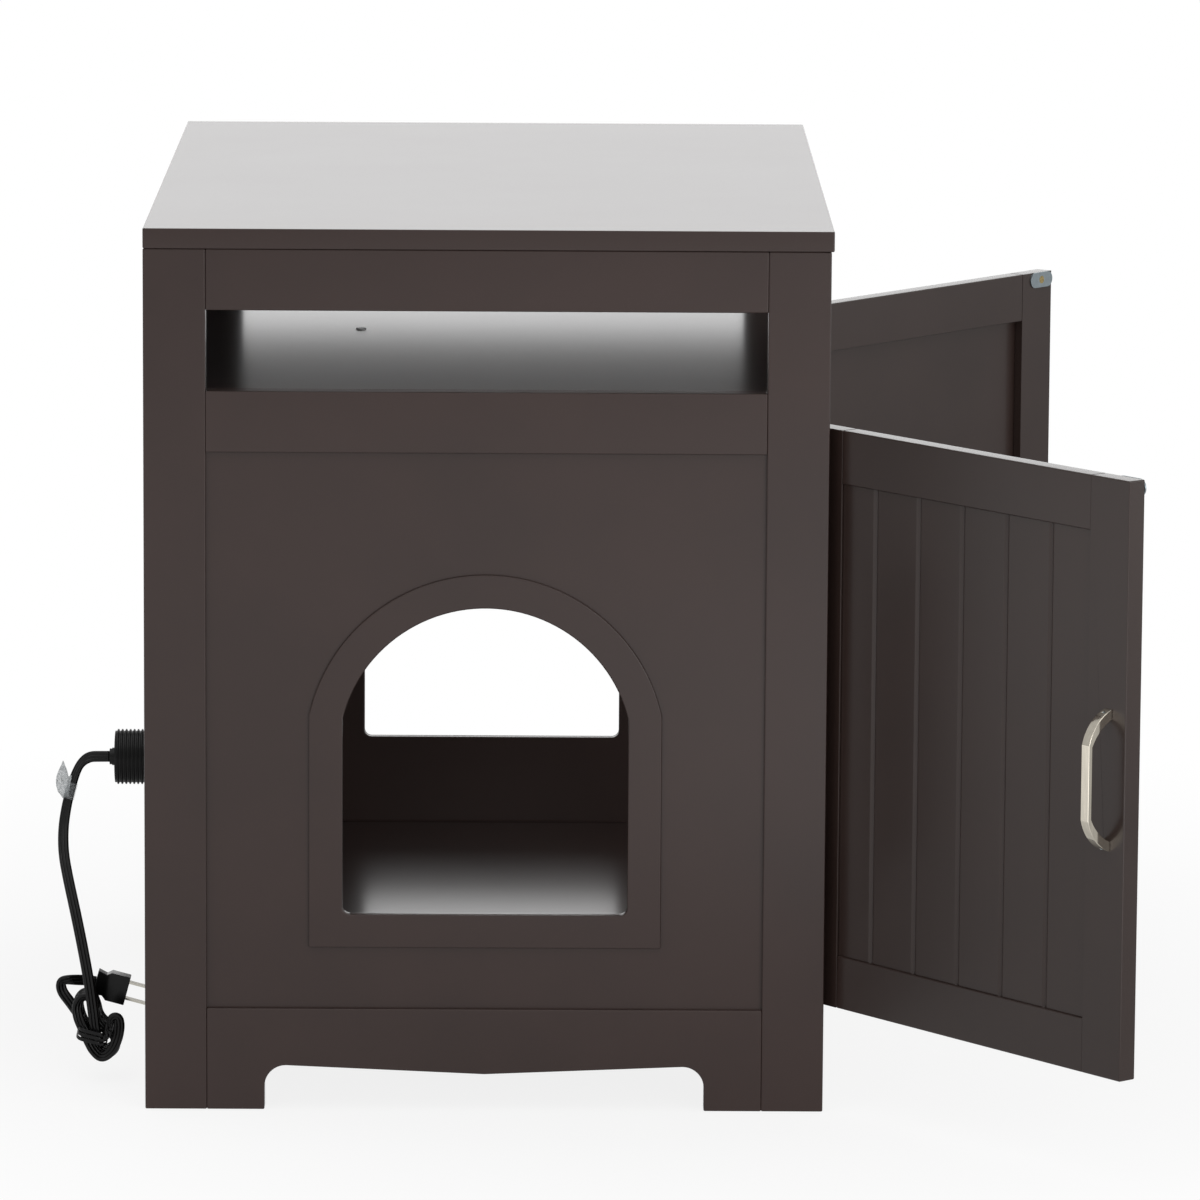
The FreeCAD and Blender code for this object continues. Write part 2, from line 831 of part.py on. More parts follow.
# ---------------------------------------------------------------- power outlet
def outlet_disc(x, length, diameter):
    """A round piece on the outlet's axis, from x towards the rear."""
    return rod((x, outlet_y, outlet_height), (-1, 0, 0), length, diameter)


def threaded_barrel(start, end):
    """The barrel's outside from start back to end, with thread ridges."""
    barrel = outlet_disc(start, start - end, outlet_root)
    foot_radius = outlet_root / 2 - thread_sink
    crest_radius = outlet_crest / 2
    count = int((rear_face - end) / thread_pitch) - 1
    for i in range(count + 1):
        x = end + thread_start + i * thread_pitch
        profile = [
            Vector(x - thread_foot / 2, outlet_y, outlet_height + foot_radius),
            Vector(x - thread_crest / 2, outlet_y, outlet_height + crest_radius),
            Vector(x + thread_crest / 2, outlet_y, outlet_height + crest_radius),
            Vector(x + thread_foot / 2, outlet_y, outlet_height + foot_radius),
            Vector(x - thread_foot / 2, outlet_y, outlet_height + foot_radius),
        ]
        face = Part.Face(Part.Wire(lines(profile)))
        barrel = barrel.fuse(face.revolve(Vector(0, outlet_y, outlet_height), outlet_axis, 360))
    return barrel.removeSplitter()


def outlet():
    flange_front = rear_inner + flange_thickness
    socket_front = flange_front - socket_recess
    bore = outlet_root - 2 * outlet_wall
    flange = outlet_disc(flange_front, flange_thickness, flange_diameter)
    body = threaded_barrel(rear_inner, outlet_end).fuse(flange)
    body = body.cut(outlet_disc(flange_front, flange_front - outlet_end - outlet_wall, bore))
    tail_hole = collar_tail + 2 * running_gap
    nodes["outlet_body"] = body.cut(outlet_disc(outlet_end + outlet_wall + 1, outlet_wall + 2, tail_hole))

    socket = outlet_disc(socket_front, socket_thickness, bore - 2 * fit_gap)
    for sign, length in zip((-1, 1), slot_lengths):
        y = outlet_y + sign * slot_spacing / 2
        slot = box(
            socket_front - slot_depth,
            socket_front,
            y - slot_width / 2,
            y + slot_width / 2,
            outlet_height - length / 2,
            outlet_height + length / 2,
        )
        socket = socket.cut(slot)
    nodes["outlet_socket"] = socket

    nut_front = rear_face + rear_panel_recess
    nut = outlet_disc(nut_front, nut_thickness, nut_diameter)
    nut = nut.cut(outlet_disc(nut_front, nut_thickness, outlet_crest + 2 * fit_gap))
    for i in range(nut_notches):
        turn = 2 * math.pi * i / nut_notches
        y = outlet_y + math.cos(turn) * nut_diameter / 2
        z = outlet_height + math.sin(turn) * nut_diameter / 2
        nut = nut.cut(rod((nut_front, y, z), (-1, 0, 0), nut_thickness, nut_notch_diameter))
    nodes["outlet_nut"] = nut

    drill(["rear_panel"], outlet_disc(rear_inner, rear_panel_thickness, outlet_crest + 4 * fit_gap))

    relief = outlet_disc(outlet_end, collar_length, collar_diameter)
    relief = relief.fuse(outlet_disc(outlet_end - collar_length, collar_neck_length, collar_neck))
    tail = outlet_disc(outlet_end + collar_tail_length, collar_tail_length, collar_tail)
    nodes["strain_relief"] = relief.fuse(tail)


# ---------------------------------------------------------------- cord
def tube_along(edges, diameter):
    """A round tube along joined edges."""
    path = Part.Wire(edges)
    first = edges[0]
    start = first.valueAt(first.FirstParameter)
    heading = first.tangentAt(first.FirstParameter)
    ring = Part.Wire(Part.makeCircle(diameter / 2, start, heading))
    shell = Part.BRepOffsetAPI.MakePipeShell(path)
    shell.add(ring)
    shell.build()
    shell.makeSolid()
    return shell.shape()


def rounded_route(points):
    """Straight runs through points, joined by tangent arcs; returns the edges and the radii."""
    edges = []
    radii = []
    here = points[0]
    for before, corner, after in zip(points, points[1:], points[2:]):
        coming = (corner - before).normalize()
        going = (after - corner).normalize()
        turn = coming.getAngle(going)
        run = min((corner - before).Length, (after - corner).Length)
        trim = run_share * run
        radius = trim / math.tan(turn / 2)
        start = corner - coming * trim
        end = corner + going * trim
        bisector = (going - coming).normalize()
        middle = corner + bisector * (radius / math.cos(turn / 2) - radius)
        edges.append(Part.makeLine(here, start))
        edges.append(arc(start, middle, end))
        radii.append(radius)
        here = end
    edges.append(Part.makeLine(here, points[-1]))
    return edges, radii


def biarc(start, heading, end, leaving):
    """Two arcs in space from start to end that meet the two given directions."""
    gap = end - start
    both = heading + leaving
    a = 2 * (1 - heading.dot(leaving))
    b = 2 * gap.dot(both)
    c = -gap.dot(gap)
    if abs(a) < 1e-9:
        reach = -c / b
    else:
        reach = (-b + math.sqrt(b * b - 4 * a * c)) / (2 * a)
    first_corner = start + heading * reach
    second_corner = end - leaving * reach
    joint = (first_corner + second_corner) * 0.5
    return [bent(start, first_corner, joint), bent(joint, second_corner, end)]


def bent(start, corner, end):
    """The arc that is tangent to both legs of a corner, or a line if they are in line."""
    coming = (corner - start).normalize()
    going = (end - corner).normalize()
    turn = coming.getAngle(going)
    if turn < 1e-4:
        return Part.makeLine(start, end)
    leg = (corner - start).Length
    radius = leg / math.tan(turn / 2)
    bisector = (going - coming).normalize()
    middle = corner + bisector * (radius / math.cos(turn / 2) - radius)
    return arc(start, middle, end)


def in_waist_plane(right, above, layer):
    """A point placed from the hank's waist, in one of its layers."""
    return hank_waist + Vector(right, layer * hank_step, above)


def station(place, layer):
    """A point and the heading of the cord there."""
    right, above, turn = place
    heading = Vector(math.cos(math.radians(turn)), 0, math.sin(math.radians(turn)))
    return in_waist_plane(right, above, layer), heading


def hank_stations():
    """Places and headings of all the hank's loops; each turn climbs a layer on its way up from the waist."""
    stations = [station(hank_entry, 0)]
    for turn in range(hank_turns):
        stations += [station(place, turn) for place in lower_lobe]
        last = turn == hank_turns - 1
        stations += [station(place, turn + 1) for place in (outer_lobe if last else upper_lobe)]
    return stations


def plug_frame():
    """Middle of the plug's rear face, the way it points and its upward side."""
    tilt = math.radians(plug_tilt)
    start = in_waist_plane(*plug_rear, hank_turns + 1)
    return start, Vector(math.cos(tilt), 0, -math.sin(tilt)), Vector(math.sin(tilt), 0, math.cos(tilt))


def route_points():
    """The hanging stretch's route, from the exit to the start of the hank."""
    drop = cord_exit.z - hank_waist.z
    return [cord_exit] + [
        Vector(cord_exit.x - behind, cord_exit.y + aside, hank_waist.z + share * drop)
        for behind, aside, share in cord_route
    ]


def hank_edges(before, start):
    """The whole path of the hank, from the last run of the hanging stretch to the plug."""
    down = (start - before).normalize()
    straight_end = start + down * cord_diameter
    lead_end, heading, _ = plug_frame()
    lead_straight = lead_end - heading * cord_diameter
    stations = [(straight_end, down)] + hank_stations() + [(lead_straight, heading)]
    edges = [Part.makeLine(start, straight_end)]
    for (here, here_heading), (there, there_heading) in zip(stations, stations[1:]):
        edges += biarc(here, here_heading, there, there_heading)
    edges.append(Part.makeLine(lead_straight, lead_end))
    return edges


def arc_radius(edge):
    return edge.Curve.Radius if hasattr(edge.Curve, "Radius") else math.inf


def least_gap(edges, diameter):
    """The least gap between parts of the tube that lie further apart along it than a half turn."""
    step = diameter / 4
    half_turn = math.pi * diameter
    points = []
    for edge in edges:
        count = max(2, int(edge.Length / step))
        points += edge.discretize(count)[:-1]
    away = int(half_turn / step) + 1
    return min(
        (points[i] - points[j]).Length - diameter
        for i in range(len(points))
        for j in range(i + away, len(points))
    )


def report_cord(name, edges, solid):
    """Print a cord piece's length and how well its volume matches its section."""
    length = sum(edge.Length for edge in edges)
    section = math.pi * cord_diameter**2 / 4
    print(name, "length", round(length, 1), "volume share", round(solid.Volume / section / length, 4))


def cord():
    points = route_points()
    edges, radii = rounded_route(points)
    nodes["cord_stretch"] = tube_along(edges, cord_diameter)
    report_cord("stretch", edges, nodes["cord_stretch"])
    print("stretch radii", [round(r, 1) for r in radii])
    loops = hank_edges(points[-2], points[-1])
    nodes["cord_hank"] = tube_along(loops, cord_diameter)
    report_cord("hank", loops, nodes["cord_hank"])
    print("hank radii", [round(arc_radius(edge), 1) for edge in loops])
    print("hank least gap", round(least_gap(loops, cord_diameter), 2))
    return edges


def tie_slab(extra):
    """A block round the waist strands, thicker all round by extra."""
    half = tie_half_width + extra
    margin = cord_diameter / 2 + tie_gap + extra
    depth = (hank_turns - 1) * hank_step + 2 * margin
    block = Part.makeBox(2 * half, depth, tie_width, Vector(-half, -margin, -tie_width / 2))
    block.rotate(Vector(0, 0, 0), Vector(0, 1, 0), -tie_angle)
    block.translate(in_waist_plane(*tie_middle, 0))
    return block


def twist_tie():
    """A flat band round the hank's waist, with its twisted tail."""
    band = tie_slab(tie_thickness).cut(tie_slab(0))
    front = -(cord_diameter / 2 + tie_gap + tie_thickness / 2)
    tail_points = [in_waist_plane(right, above, 0) + Vector(0, front, 0) for right, above in tie_tail]
    return band.fuse(tube_along(rounded_route(tail_points)[0], tie_tail_diameter))


def cord_tag(edges):
    """A blank film wrapped round the stretch, with a free flap."""
    anchor = route_points()[tag_route_index]
    wrapped = [edge for edge in edges if abs(edge.CenterOfMass.z - anchor.z) < tag_reach]
    sleeve = tube_along(wrapped, cord_diameter + 2 * (tag_gap + tag_thickness))
    hollow = tube_along(wrapped, cord_diameter + 2 * tag_gap)
    points = [anchor + Vector(right, -tag_thickness / 2, above) for right, above in tag_flap + tag_flap[:1]]
    flap = prism(lines(points), (0, tag_thickness, 0))
    return sleeve.fuse(flap).cut(hollow)


def plug():
    start, heading, up = plug_frame()
    side = Vector(0, 1, 0)

    def section(along, height, depth):
        centre = start + heading * along
        corners = [
            centre + up * (height / 2 * u) + side * (depth / 2 * s)
            for u, s in ((-1, -1), (1, -1), (1, 1), (-1, 1), (-1, -1))
        ]
        return Part.Wire(lines(corners))

    stations = (
        (0, plug_rear_height, plug_rear_depth),
        (plug_waist_place, plug_waist_height, plug_rear_depth),
        (plug_shoulder_place, plug_height, plug_depth),
        (plug_length, plug_height, plug_depth),
    )
    nodes["plug_body"] = Part.makeLoft([section(*station) for station in stations], True, True)
    blades = []
    for sign in (-1, 1):
        centre = start + heading * plug_length + up * (sign * slot_spacing / 2)
        corner = centre - up * (blade_thickness / 2) - side * (blade_width / 2)
        corners = [
            corner,
            corner + up * blade_thickness,
            corner + up * blade_thickness + side * blade_width,
            corner + side * blade_width,
            corner,
        ]
        blades.append(prism(lines(corners), heading * blade_length))
    nodes["plug_blades"] = Part.makeCompound(blades)


# ---------------------------------------------------------------- build and write
def build():
    nodes["tabletop"] = tabletop()
    side_stiles()
    side_rails()
    aprons()
    side_panels()
    nodes["rear_panel"] = rear_panel()
    cross_boards()
    cleats("shelf_cleats", shelf_under)
    cleats("floor_cleats", floor_under)
    cleats("top_battens", top_under)
    nodes["shelf_cap"] = shelf_cap()
    dowels()
    cam_joints()
    wood_screws()
    doors()
    pivot_pins()
    catches()
    outlet()
    stretch_edges = cord()
    nodes["twist_tie"] = twist_tie()
    nodes["cord_tag"] = cord_tag(stretch_edges)
    plug()


def write():
    os.makedirs("parts", exist_ok=True)
    for name, shape in nodes.items():
        shape.exportStep("parts/" + name + ".step")
    print(len(nodes), "nodes;", "open angle", round(math.degrees(open_angle), 2))
    print("front face", round(front_face, 2), "rear face", round(rear_face, 2))
    print("left pivot", round(pivot_x, 2), round(pivot_y, 2))


build()
write()
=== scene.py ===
import json
import math
import bpy
import bmesh
from mathutils import Matrix, Vector


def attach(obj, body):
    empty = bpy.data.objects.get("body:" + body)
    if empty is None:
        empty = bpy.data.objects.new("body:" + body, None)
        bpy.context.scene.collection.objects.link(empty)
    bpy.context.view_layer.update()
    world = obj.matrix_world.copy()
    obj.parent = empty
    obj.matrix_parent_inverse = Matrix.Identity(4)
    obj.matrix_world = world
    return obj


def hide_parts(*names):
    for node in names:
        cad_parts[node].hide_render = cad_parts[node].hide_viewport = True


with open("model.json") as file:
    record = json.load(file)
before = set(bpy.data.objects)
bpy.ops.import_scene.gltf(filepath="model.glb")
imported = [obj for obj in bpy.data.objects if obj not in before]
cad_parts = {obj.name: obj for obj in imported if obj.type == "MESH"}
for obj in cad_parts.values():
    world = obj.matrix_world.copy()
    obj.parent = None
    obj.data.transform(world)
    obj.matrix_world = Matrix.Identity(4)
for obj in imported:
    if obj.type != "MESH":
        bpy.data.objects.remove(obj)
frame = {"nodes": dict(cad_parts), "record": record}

scene = bpy.context.scene
nodes = frame["nodes"]
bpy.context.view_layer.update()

# ---------------------------------------------------------------- named values
# Lengths are in metres and angles in degrees, where a comment doesn't say otherwise
mm = 0.001
WHITE = (1.0, 1.0, 1.0, 1.0)
FRONT = Vector((0, -1, 0))

# The camera, found by fitting the photograph's corners; its lens and sensor are in millimetres
camera_place = Vector((-0.05301, -6.12128, 1.35913))
camera_pitch = 9.5866
camera_yaw = 0.4221
camera_roll = 0.3640
camera_lens = 236.84
camera_sensor = 36.0
camera_reach = 100.0

# Rounds on the edges of the painted boards, and of the handles and the plug
board_edge_round = 0.0010
fitting_edge_round = 0.0005
round_steps = 2
sharp_angle = 40.0
flat_angle = 0.5
weld_distance = 0.00001

# The cord: where it leaves the strain relief, the middle of its hank's waist, and its flat section
hank_waist = Vector((-0.392506, -0.2766, 0.0372))
cord_width = 0.0083
cord_thickness = 0.0034
cord_cores = 3
core_steps = 7
route_steps = 10

# The hanging stretch: places down it, and the angle that its broad side is turned from the front
stretch_route = [
    (-0.378806, -0.2680, 0.2490, 5),
    (-0.3864, -0.2680, 0.2490, 5),
    (-0.3942, -0.2680, 0.2488, 20),
    (-0.4006, -0.2680, 0.2441, 55),
    (-0.4044, -0.2681, 0.2367, 50),
    (-0.4082, -0.2685, 0.2251, 36),
    (-0.4118, -0.2690, 0.2100, 30),
    (-0.4142, -0.2700, 0.1933, 22),
    (-0.4140, -0.2710, 0.1751, 12),
    (-0.4106, -0.2720, 0.1560, 6),
    (-0.4050, -0.2732, 0.1302, 2),
    (-0.3994, -0.2746, 0.1022, 0),
    (-0.3950, -0.2758, 0.0777, 0),
    (-0.3923, -0.2764, 0.0575, 0),
]

# The hank's loops: millimetres right of and above its waist, layers behind the turn's own one, and the
# angle that its broad side is turned; each turn lies one layer behind the last
hank_turns = 5
hank_step = 0.0064
first_lower = [
    (1.8, 6.0, -0.1, 0),
    (3.0, -3.0, 0.0, 10),
    (7.5, -4.5, 0.2, 30),
    (12.0, 0.0, 0.1, 50),
    (13.2, 8.2, 0.0, 55),
    (15.8, 13.0, -0.1, 35),
    (20.0, 12.2, -0.15, 12),
    (20.8, 4.8, -0.2, 0),
    (18.8, -5.0, -0.2, 5),
    (14.5, -14.0, -0.1, 20),
    (7.0, -19.6, 0.0, 45),
    (0.6, -13.4, 0.1, 35),
    (-2.8, -6.0, 0.2, 10),
]
lower_lobe = [
    (9.0, 2.6, 0.0, 10),
    (15.5, -1.5, 0.0, 25),
    (18.0, -8.5, 0.0, 30),
    (15.6, -15.0, 0.0, 35),
    (8.6, -18.6, 0.0, 45),
    (1.6, -14.0, 0.0, 35),
    (-2.4, -6.6, 0.0, 10),
]
upper_lobe = [
    (-7.0, 3.0, 0.3, 0),
    (-11.0, 11.5, 0.7, 10),
    (-12.2, 20.5, 1.0, 35),
    (-7.6, 27.4, 1.0, 50),
    (-0.8, 25.4, 1.0, 40),
    (1.6, 17.6, 1.0, 15),
    (3.2, 9.2, 1.0, 5),
]
outer_lobe = [
    (-7.4, 2.6, 0.3, 0),
    (-12.8, 9.2, 0.7, 0),
    (-18.6, 17.0, 1.0, 5),
    (-25.2, 25.6, 1.0, 15),
    (-25.8, 33.8, 1.0, 45),
    (-18.6, 34.4, 1.0, 20),
    (-12.0, 33.6, 1.4, 0),
    (-5.6, 32.8, 1.9, 0),
]
plug_rear = (0.6, 31.6, 6.0)

# Powers below 1 that square the outline of the tie's wraps and of a flat oval
wrap_power = 0.45
oval_power = 0.6

# The tie round the hank's waist: places are millimetres right of, above and behind it, and its free ends
# twist by some radians at each point
tie_angle = -12.0
tie_middle = (0.2, -1.2)
tie_half_length = 11.5
tie_front = -5.0
tie_wraps = 3
tie_pitch = 3.5
tie_steps = 40
tie_width = 0.0028
tie_thickness = 0.0013
tail_width = 0.0024
tail_thickness = 0.0007
tail_twist = 0.16
tie_tails = [
    [
        (9.0, -3.0, -5.8),
        (13.6, -2.0, -6.8),
        (13.4, 4.0, -6.8),
        (10.6, 11.2, -6.2),
        (6.9, 13.8, -5.8),
        (5.6, 21.0, -5.8),
    ],
    [
        (8.6, -2.6, -5.9),
        (11.4, -0.6, -6.9),
        (11.2, 2.9, -6.8),
        (15.3, 5.1, -6.4),
    ],
]

# The film tag: its flap's outline from the front, the heights between which its sleeve covers the cord,
# how far its flap stands in front, how much the sleeve adds to the cord's section, and the film
tag_outline = [
    (-0.4073, 0.2350),
    (-0.4100, 0.2342),
    (-0.4107, 0.2382),
    (-0.4138, 0.2463),
    (-0.4170, 0.2392),
    (-0.4189, 0.2343),
    (-0.4194, 0.2290),
    (-0.4181, 0.2229),
    (-0.4140, 0.2174),
    (-0.4100, 0.2190),
]
tag_low = 0.2165
tag_high = 0.2296
tag_front = -0.2712
tag_added = 0.0016
film_thickness = 0.0002

# The floor: middles of the painted highlight patch and of the painted shade patch that the satin paint
# mirrors as painted reflections (the floor glows there only in glossy rays), how pale it is to the light
# that bounces and to the camera, how far it lies below the feet, and half its length
painted_highlight_middle = (0.75, -2.0, 0.0)
painted_shade_middle = (1.6, 1.2, 0.0)
floor_bounce = 0.62
floor_shown = 0.96
floor_drop = 0.0004
floor_half = 20.0

# Strength of the grey light from all round
room_light = 0.46


# ---------------------------------------------------------------- material helpers
class Nodes:
    """A material's node tree with short calls to add and link nodes."""

    def __init__(self, name):
        self.material = bpy.data.materials.new(name)
        self.material.use_nodes = True
        self.tree = self.material.node_tree
        self.shader = self.tree.nodes["Principled BSDF"]
        self.place = self.add("ShaderNodeTexCoord").outputs["Object"]

    def add(self, kind, **settings):
        """A new node of a kind, with its settings."""
        node = self.tree.nodes.new(kind)
        for key, value in settings.items():
            setattr(node, key, value)
        return node

    def link(self, output, target):
        self.tree.links.new(output, target)

    def feed(self, output, name):
        """Link an output to one of the shader's inputs."""
        self.link(output, self.shader.inputs[name])

    def set(self, **values):
        """Give inputs of the shader fixed values; an underscore stands for a space."""
        for key, value in values.items():
            self.shader.inputs[key.replace("_", " ")].default_value = value

    def scaled(self, scale):
        """Object coordinates stretched by a scale for each axis."""
        mapping = self.add("ShaderNodeMapping")
        mapping.inputs["Scale"].default_value = scale
        self.link(self.place, mapping.inputs["Vector"])
        return mapping.outputs["Vector"]

    def noise(self, scale, detail, rough, at=None):
        """Cloudy noise from 0 to 1, over the object's coordinates or some given ones."""
        node = self.add("ShaderNodeTexNoise")
        node.inputs["Scale"].default_value = scale
        node.inputs["Detail"].default_value = detail
        node.inputs["Roughness"].default_value = rough
        self.link(at or self.place, node.inputs["Vector"])
        return node.outputs["Fac"]

    def band(self, value, low, high, out_low, out_high):
        """Map a value from one range to another, clamped."""
        node = self.add("ShaderNodeMapRange")
        node.inputs["From Min"].default_value = low
        node.inputs["From Max"].default_value = high
        node.inputs["To Min"].default_value = out_low
        node.inputs["To Max"].default_value = out_high
        self.link(value, node.inputs["Value"])
        return node.outputs["Result"]

    def mix(self, factor, first, second):
        """A colour between two others by a factor."""
        node = self.add("ShaderNodeMix", data_type="RGBA")
        self.link(factor, node.inputs[0])
        for value, socket in ((first, node.inputs[6]), (second, node.inputs[7])):
            if isinstance(value, tuple):
                socket.default_value = value
            else:
                self.link(value, socket)
        return node.outputs[2]

    def maths(self, operation, first, second):
        """Two values joined by an operation."""
        node = self.add("ShaderNodeMath", operation=operation)
        self.link(first, node.inputs[0])
        self.link(second, node.inputs[1])
        return node.outputs[0]

    def distance_from(self, middle):
        """Distance from one place."""
        away = self.add("ShaderNodeVectorMath", operation="DISTANCE")
        self.link(self.place, away.inputs[0])
        away.inputs[1].default_value = middle
        return away.outputs["Value"]

    def bump(self, height, strength, distance):
        """Small relief from a height, for the shader's normal."""
        node = self.add("ShaderNodeBump")
        node.inputs["Strength"].default_value = strength
        node.inputs["Distance"].default_value = distance
        self.link(height, node.inputs["Height"])
        self.feed(node.outputs["Normal"], "Normal")


def srgb(red, green, blue):
    """A colour given as it looks on screen, from 0 to 255."""

    def linear(value):
        value /= 255.0
        return value / 12.92 if value <= 0.04045 else ((value + 0.055) / 1.055) ** 2.4

    return (linear(red), linear(green), linear(blue), 1.0)


def tinted(colour, factor, lift=0.0):
    """A colour made darker or lighter by a factor, and lifted towards white."""
    return tuple(min(1.0, factor * value + lift) for value in colour[:3]) + (1.0,)


# ---------------------------------------------------------------- materials
def paint(name, colour, rough, uneven=1.0, coat=1.34):
    """Sprayed satin paint on board: faint clouding, fine orange peel and dust."""
    m = Nodes(name)
    cloud = m.noise(7.0, 4.0, 0.55)
    peel = m.noise(420.0, 2.0, 0.6)
    speck = m.noise(900.0, 1.0, 0.5)
    dark = tinted(colour, 1.0 - 0.08 * uneven)
    light = tinted(colour, 1.0 + 0.10 * uneven)
    clouded = m.mix(m.band(cloud, 0.35, 0.65, 0.0, 1.0), dark, light)
    dusty = m.mix(m.band(speck, 0.74, 0.80, 0.0, 0.3), clouded, tinted(colour, 1.6, 0.02))
    change = 0.08 * uneven
    m.feed(dusty, "Base Color")
    m.feed(m.band(cloud, 0.3, 0.7, rough * (1.0 - change), rough * (1.0 + change)), "Roughness")
    m.set(IOR=1.36, Coat_Weight=1.0, Coat_Roughness=rough * 0.55, Coat_IOR=coat)
    m.bump(peel, 0.10, 0.0004)
    return m.material


def brushed_metal(name, colour, rough, grain):
    """Metal with fine lines along one direction."""
    m = Nodes(name)
    lines = m.noise(60.0, 5.0, 0.6, m.scaled(grain))
    m.feed(m.mix(m.band(lines, 0.3, 0.7, 0.0, 1.0), tinted(colour, 0.86), colour), "Base Color")
    m.feed(m.band(lines, 0.3, 0.7, rough * 0.8, rough * 1.25), "Roughness")
    m.set(Metallic=1.0)
    m.bump(lines, 0.08, 0.0003)
    return m.material


def plastic(name, colour, rough, grain=700.0):
    """Moulded plastic with a fine grain."""
    m = Nodes(name)
    cloud = m.noise(40.0, 3.0, 0.5)
    fine = m.noise(grain, 2.0, 0.6)
    light = tinted(colour, 1.35, 0.002)
    m.feed(m.mix(m.band(cloud, 0.4, 0.7, 0.0, 1.0), colour, light), "Base Color")
    m.feed(m.band(cloud, 0.3, 0.7, rough * 0.85, rough * 1.15), "Roughness")
    m.set(IOR=1.4)
    m.bump(fine, 0.12, 0.0002)
    return m.material


def raw_wood(name):
    """Turned beech with fine grain along the dowels."""
    m = Nodes(name)
    grain = m.noise(90.0, 4.0, 0.6, m.scaled((0.2, 0.2, 1.0)))
    m.feed(m.mix(grain, srgb(196, 158, 112), srgb(222, 190, 148)), "Base Color")
    m.set(Roughness=0.62)
    m.bump(grain, 0.2, 0.0003)
    return m.material


def film(name, least, most):
    """Crinkled clear film with a milky haze, from its least to its most cover."""
    m = Nodes(name)
    creases = m.noise(260.0, 5.0, 0.65)
    fine = m.noise(900.0, 3.0, 0.6)
    milky = m.mix(m.band(creases, 0.38, 0.62, 0.0, 1.0), srgb(188, 194, 196), srgb(236, 240, 242))
    m.feed(milky, "Base Color")
    m.feed(m.band(fine, 0.4, 0.6, least, most), "Alpha")
    m.set(Roughness=0.3)
    m.bump(creases, 0.7, 0.0008)
    return m.material


ESPRESSO = srgb(58, 42, 38)
materials = {
    "painted_board": paint("painted_board", ESPRESSO, 0.42),
    "painted_top": paint("painted_top", ESPRESSO, 0.34, 0.25),
    "painted_shelf": paint("painted_shelf", ESPRESSO, 0.28, 0.25, 1.48),
    "painted_back": paint("painted_back", srgb(56, 45, 41), 0.50),
    # The doors' paint is the boards' paint made a little less red, a toned copy that stands in for how
    # light falls on the doors: painted light rather than a different paint.
    "painted_door": paint("painted_door", srgb(56, 43, 39), 0.38),
    "beech": raw_wood("beech"),
    "satin_nickel": brushed_metal("satin_nickel", srgb(244, 236, 220), 0.08, (6.0, 6.0, 1.0)),
    "zinc": brushed_metal("zinc", srgb(176, 188, 194), 0.36, (20.0, 20.0, 3.0)),
    "brass_screw": brushed_metal("brass_screw", srgb(206, 184, 128), 0.28, (8.0, 8.0, 8.0)),
    "pale_cap": plastic("pale_cap", srgb(246, 246, 243), 0.2),
    "catch_plastic": plastic("catch_plastic", srgb(70, 58, 50), 0.5),
    "magnet": plastic("magnet", srgb(58, 58, 60), 0.6),
    "black_plastic": plastic("black_plastic", srgb(7, 7, 7), 0.36),
    "cord_black": plastic("cord_black", srgb(7, 7, 7), 0.22, 900.0),
    "blade_metal": brushed_metal("blade_metal", srgb(236, 232, 220), 0.16, (4.0, 30.0, 4.0)),
    "tie_black": plastic("tie_black", srgb(13, 13, 14), 0.2),
    "clear_film": film("clear_film", 0.45, 0.75),
    "film_wrap": film("film_wrap", 0.08, 0.30),
}


def dress_nodes():
    """Give each CAD node the material of its slot, with the door boards on a toned copy of the board
    paint that stands in for the light on the doors.
    """
    for part in frame["record"]["subparts"]:
        name = part["node"]
        slot = part["material_slot"]
        # Door boards get the toned copy of the board paint, which stands in for the light on the doors.
        if "_door_" in name and slot == "painted_board":
            slot = "painted_door"
        mesh = nodes[name].data
        mesh.materials.clear()
        mesh.materials.append(materials[slot])


def soften(names, width):
    """A small round on the edges of some nodes, as sanding or moulding leaves it."""
    for name in names:
        modifiers = nodes[name].modifiers
        weld = modifiers.new("weld", "WELD")
        weld.merge_threshold = weld_distance
        whole_faces = modifiers.new("whole_faces", "DECIMATE")
        whole_faces.decimate_type = "DISSOLVE"
        whole_faces.angle_limit = math.radians(flat_angle)
        bevel = modifiers.new("edge_round", "BEVEL")
        bevel.width = width
        bevel.segments = round_steps
        bevel.limit_method = "ANGLE"
        bevel.angle_limit = math.radians(sharp_angle)
        bevel.use_clamp_overlap = False
        modifiers.new("flat_faces", "WEIGHTED_NORMAL")


def painted_nodes():
    """The names of all nodes with a painted slot."""
    parts = frame["record"]["subparts"]
    return [part["node"] for part in parts if part["material_slot"].startswith("painted")]


# ---------------------------------------------------------------- cord
def in_waist_plane(right, above, layer):
    """A point placed in millimetres from the hank's waist, in one of its layers."""
    return hank_waist + Vector((mm * right, layer * hank_step, mm * above))


def spline_object(name, points):
    """A smooth curve with the route's points as its control points."""
    curve = bpy.data.curves.new(name, "CURVE")
    curve.dimensions = "3D"
    curve.resolution_u = route_steps
    spline = curve.splines.new("NURBS")
    spline.points.add(len(points) - 1)
    for target, point in zip(spline.points, points):
        target.co = (*point, 1.0)
    spline.order_u = 3
    spline.use_endpoint_u = True
    obj = bpy.data.objects.new(name, curve)
    scene.collection.objects.link(obj)
    return obj


def followed(name, points):
    """The points along a smooth curve through a route."""
    guide = spline_object(name, points)
    mesh = bpy.data.meshes.new_from_object(guide)
    line = [v.co.copy() for v in mesh.vertices]
    bpy.data.meshes.remove(mesh)
    bpy.data.objects.remove(guide)
    return line


